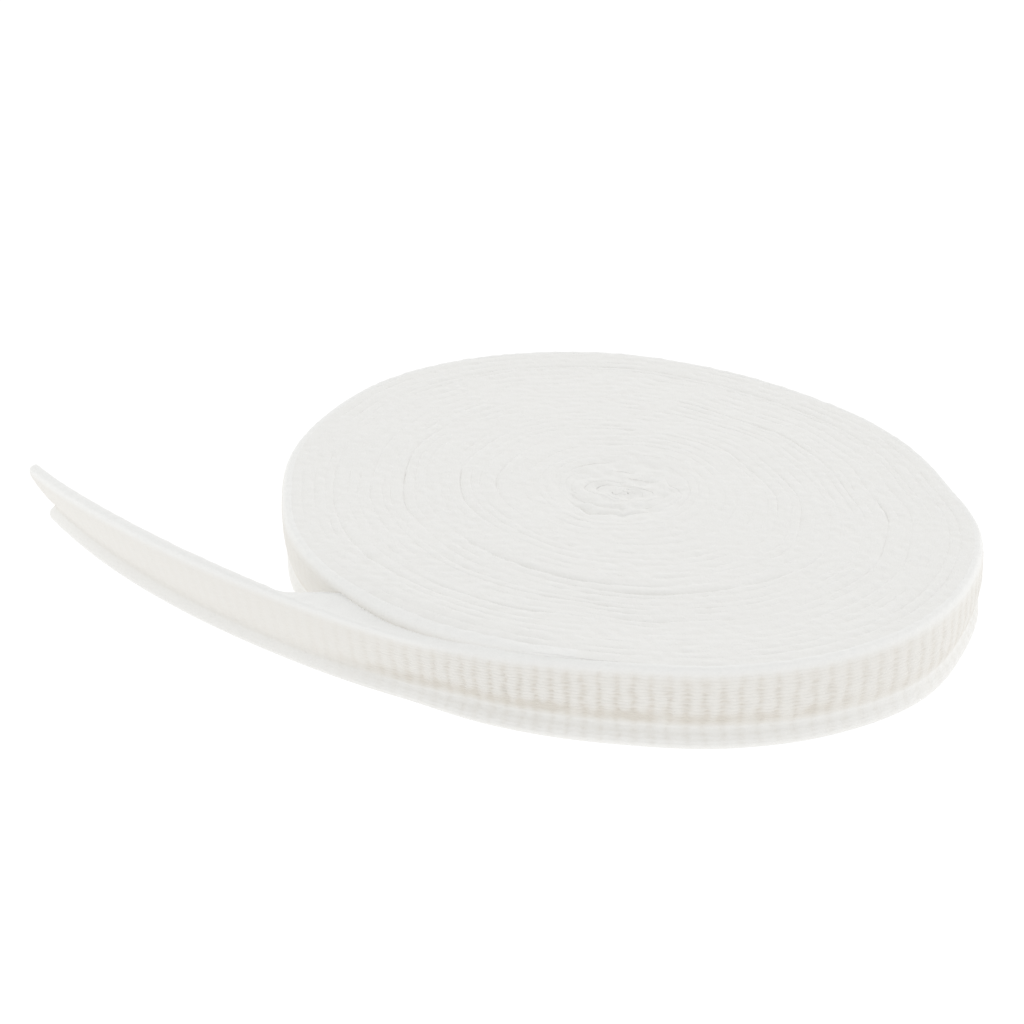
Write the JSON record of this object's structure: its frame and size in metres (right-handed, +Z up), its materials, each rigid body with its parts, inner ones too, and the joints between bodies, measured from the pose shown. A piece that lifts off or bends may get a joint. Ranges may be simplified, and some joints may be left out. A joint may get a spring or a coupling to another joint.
{
  "type": "tubular net bandage, rolled",
  "caption": "Elastic tubular net bandage, pressed flat and wound edge-up into a low uneven disc, with a loose end.",
  "frame": {"origin": "middle of the winding, on the flat underside that the roll rests on", "axes": "+Z up out of the upper face, square to the underside; +X to the right and +Y away from a viewer who has the loose end at the front left"},
  "size_m": [0.1786, 0.1283, 0.015],
  "materials": {
    "net": "off-white knitted cotton and elastic net"
  },
  "bodies": {
    "root": {"roll": "net", "loose_end": "net"}
  },
  "joints": []
}
